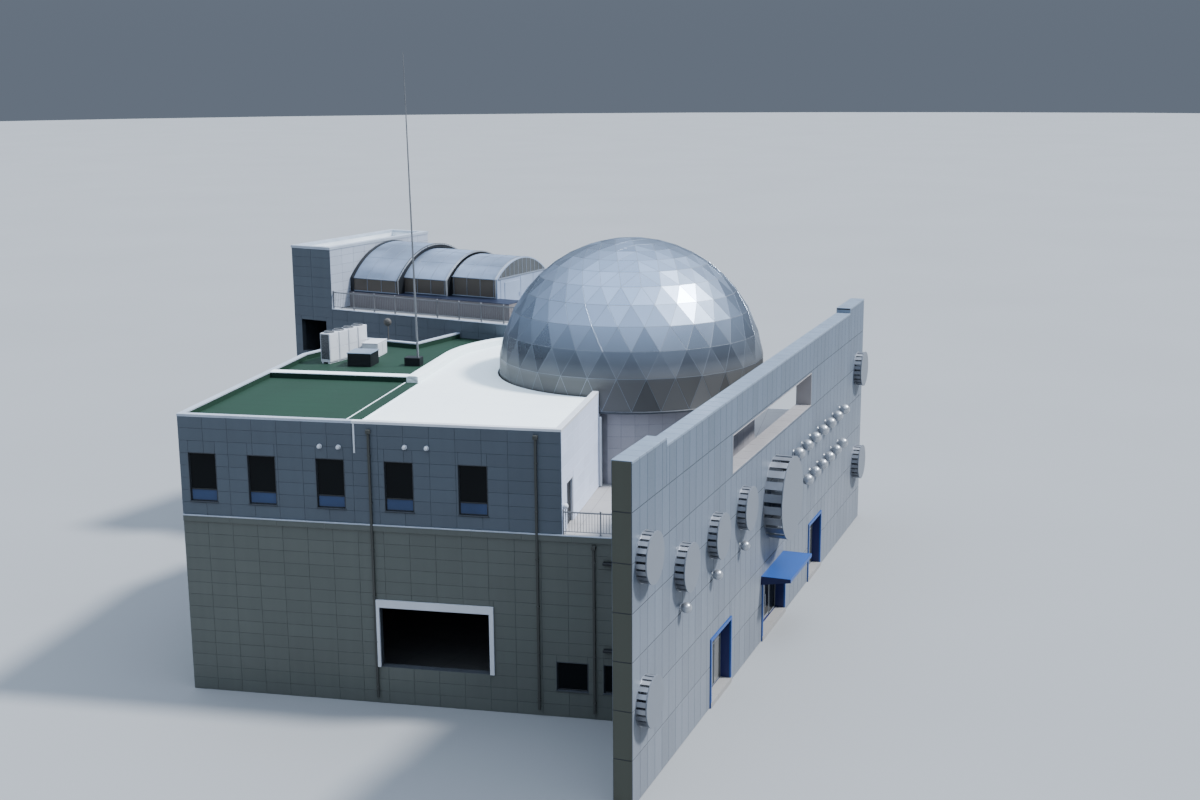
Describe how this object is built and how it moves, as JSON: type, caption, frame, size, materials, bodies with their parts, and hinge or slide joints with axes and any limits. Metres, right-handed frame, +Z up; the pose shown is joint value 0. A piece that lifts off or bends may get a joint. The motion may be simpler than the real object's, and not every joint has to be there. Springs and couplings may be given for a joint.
{
  "type": "observatory dome, 1:2 scale model of a science hall",
  "caption": "Half-size model of a science hall: a panelled dome on a round drum behind a tall screen wall, a deck with a telescoping vaulted roof, and a stair tower.",
  "frame": {"origin": "middle of the building's own footprint box, on the ground", "axes": "X runs along the screen wall from its near end to its far end, Y from the screen wall to the rear block, Z up"},
  "size_m": [21.425, 17.3954, 14.7493],
  "materials": {
    "wall_panel": "satin blue-grey cladding",
    "blue_trim": "satin blue paint",
    "dark_glass": "dark tinted glass",
    "louvre_metal": "satin",
    "facade_panel": "satin dark blue-grey cladding",
    "pale_panel": "satin pale grey",
    "floor_concrete": "matt grey",
    "white_roofing": "matt white sheet",
    "green_roofing": "matt grey-green sheet",
    "dome_metal": "satin panels",
    "wall_tile": "matt square tiles",
    "vault_sheet": "translucent corrugated sheet",
    "rail_metal": "satin",
    "dark_metal": "satin dark grey"
  },
  "bodies": {
    "building": {"screen_wall_near": "wall_panel", "screen_wall_far": "wall_panel", "screen_wall_left_of_entrance": "wall_panel", "screen_wall_over_entrance": "wall_panel", "screen_wall_right_of_entrance": "wall_panel", "screen_wall_over_opening": "wall_panel", "portal_liner_1": "blue_trim", "entrance_liner": "blue_trim", "portal_liner_2": "blue_trim", "entrance_canopy": "blue_trim", "entrance_screen": "dark_glass", "lower_glazing": "dark_glass", "upper_glazing": "dark_glass", "louvre_drum_1": "louvre_metal", "louvre_drum_2": "louvre_metal", "louvre_drum_3": "louvre_metal", "louvre_drum_4": "louvre_metal", "louvre_drum_5": "louvre_metal", "louvre_drum_6": "louvre_metal", "louvre_drum_7": "louvre_metal", "louvre_drum_8": "louvre_metal", "lower_facade": "facade_panel", "lower_left_wall": "facade_panel", "lower_far_wall": "facade_panel", "upper_facade": "facade_panel", "upper_left_wall": "facade_panel", "upper_far_wall": "facade_panel", "upper_corner_wall": "facade_panel", "rear_walls": "facade_panel", "tower_walls": "facade_panel", "upper_right_wall": "pale_panel", "garage_frame": "pale_panel", "roof_coolers": "pale_panel", "roof_cabinet": "pale_panel", "ground_floor": "floor_concrete", "upper_floor": "floor_concrete", "observation_deck": "floor_concrete", "tower_roof": "floor_concrete", "white_roof": "white_roofing", "green_roof": "green_roofing", "dome_shell": "dome_metal", "theatre_wall": "wall_tile", "vault_section_1": "vault_sheet", "deck_railing": "rail_metal", "terrace_railing": "rail_metal", "lightning_mast": "rail_metal", "terrace_door": "dark_metal", "plant_box": "dark_metal", "vault_track_near": "dark_metal", "vault_track_far": "dark_metal"},
    "vault_2": {"vault_section_2": "vault_sheet"},
    "vault_3": {"vault_section_3": "vault_sheet", "vault_gable": "pale_panel", "gable_skirt": "pale_panel"},
    "door_left": {"entrance_door_left": "dark_glass"},
    "door_right": {"entrance_door_right": "dark_glass"}
  },
  "joints": [
    {"name": "vault_2_slide", "type": "slide", "parent": "building", "child": "vault_2", "axis": [0.1461, 0.9893, 0], "range_m": [0, 1.6]},
    {"name": "vault_3_slide", "type": "slide", "parent": "vault_2", "child": "vault_3", "axis": [0.1461, 0.9893, 0], "range_m": [0, 1.6]},
    {"name": "entrance_door_left_hinge", "type": "hinge", "parent": "building", "child": "door_left", "pos_m": [-0.42, -7.67272, 0.1328], "axis": [0, 0, -1], "range_deg": [0, 90]},
    {"name": "entrance_door_right_hinge", "type": "hinge", "parent": "building", "child": "door_right", "pos_m": [0.545, -7.67272, 0.1328], "axis": [0, 0, 1], "range_deg": [0, 90]}
  ]
}
